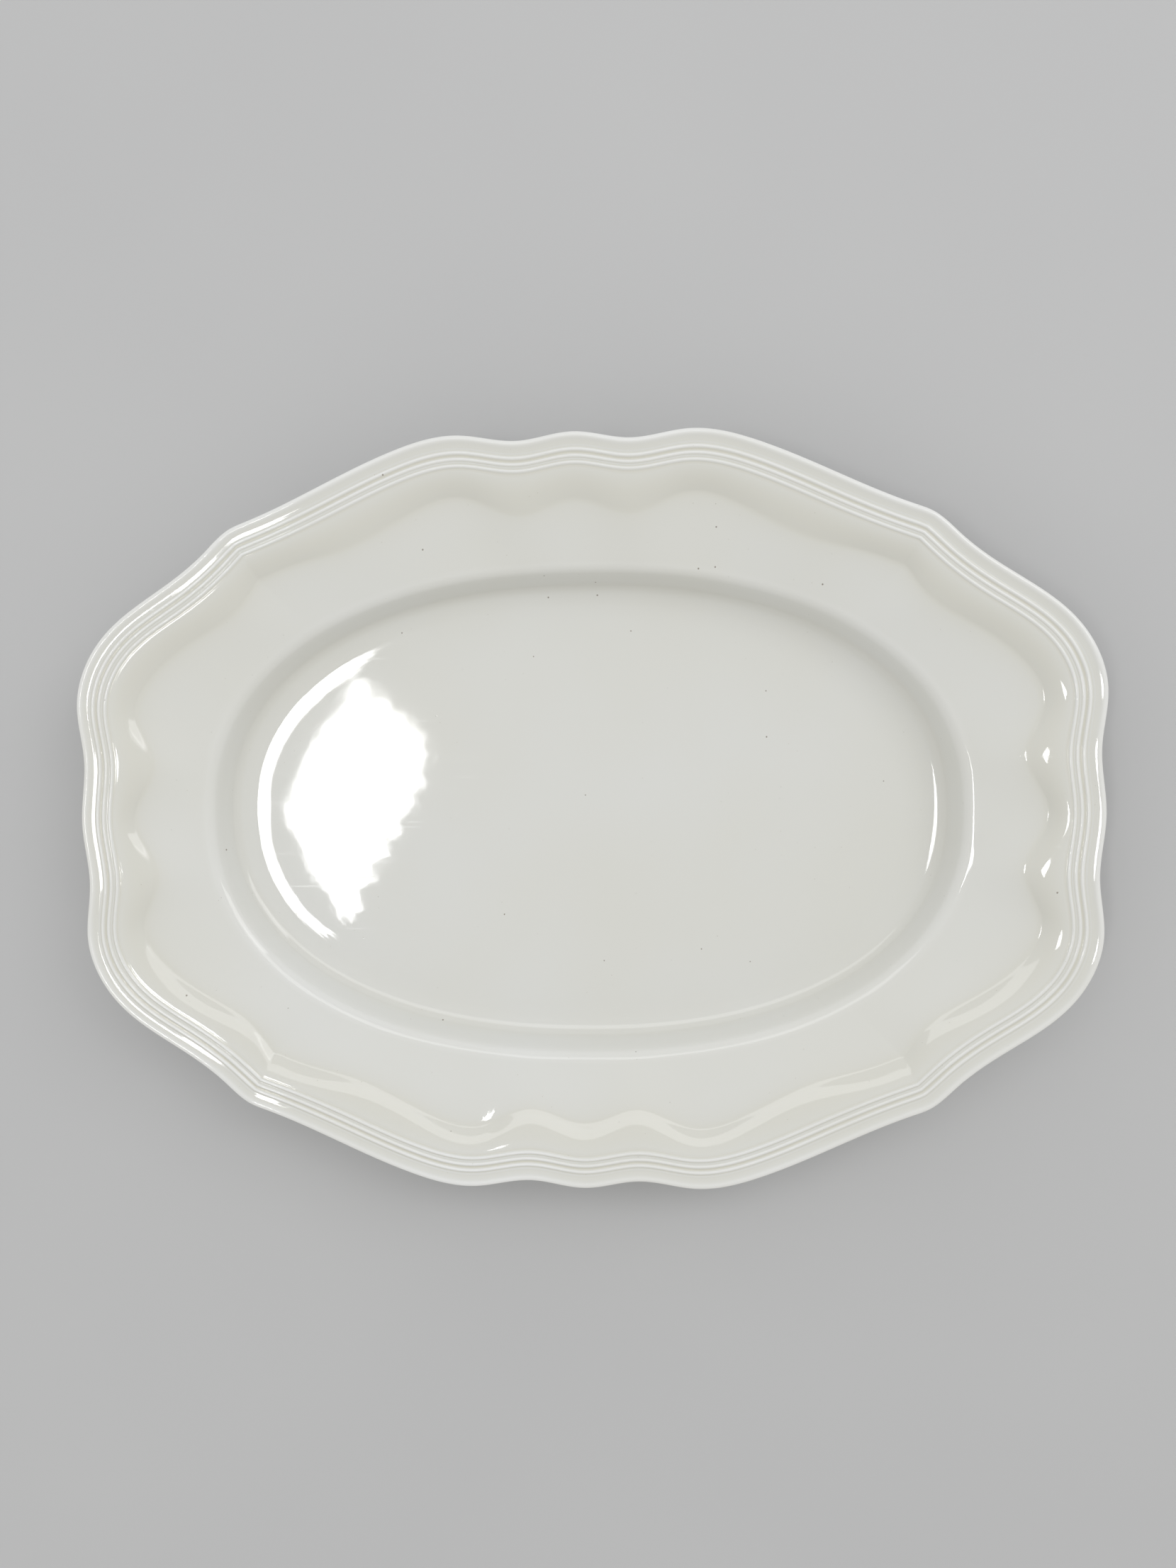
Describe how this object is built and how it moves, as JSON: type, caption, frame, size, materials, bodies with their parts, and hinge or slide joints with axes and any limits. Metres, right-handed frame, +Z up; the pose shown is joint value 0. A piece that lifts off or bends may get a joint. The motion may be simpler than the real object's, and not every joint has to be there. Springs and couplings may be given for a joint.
{
  "type": "serving platter",
  "caption": "Oval china serving platter with a scalloped, reeded border, a wide flat rim, a sunken oval well and an oval foot ring.",
  "frame": {"origin": "centre of the plane that the foot ring stands on", "axes": "+Z up out of the well, +X along the long way of the platter, +Y across it"},
  "size_m": [0.356, 0.2636, 0.0314],
  "materials": {
    "bare_clay": "unglazed, fine-grained, matt",
    "glaze": "clear gloss glaze over an ivory white body"
  },
  "bodies": {
    "root": {"ceramic_body": "bare_clay", "glaze_coat": "glaze", "glaze_base": "glaze"}
  },
  "joints": []
}
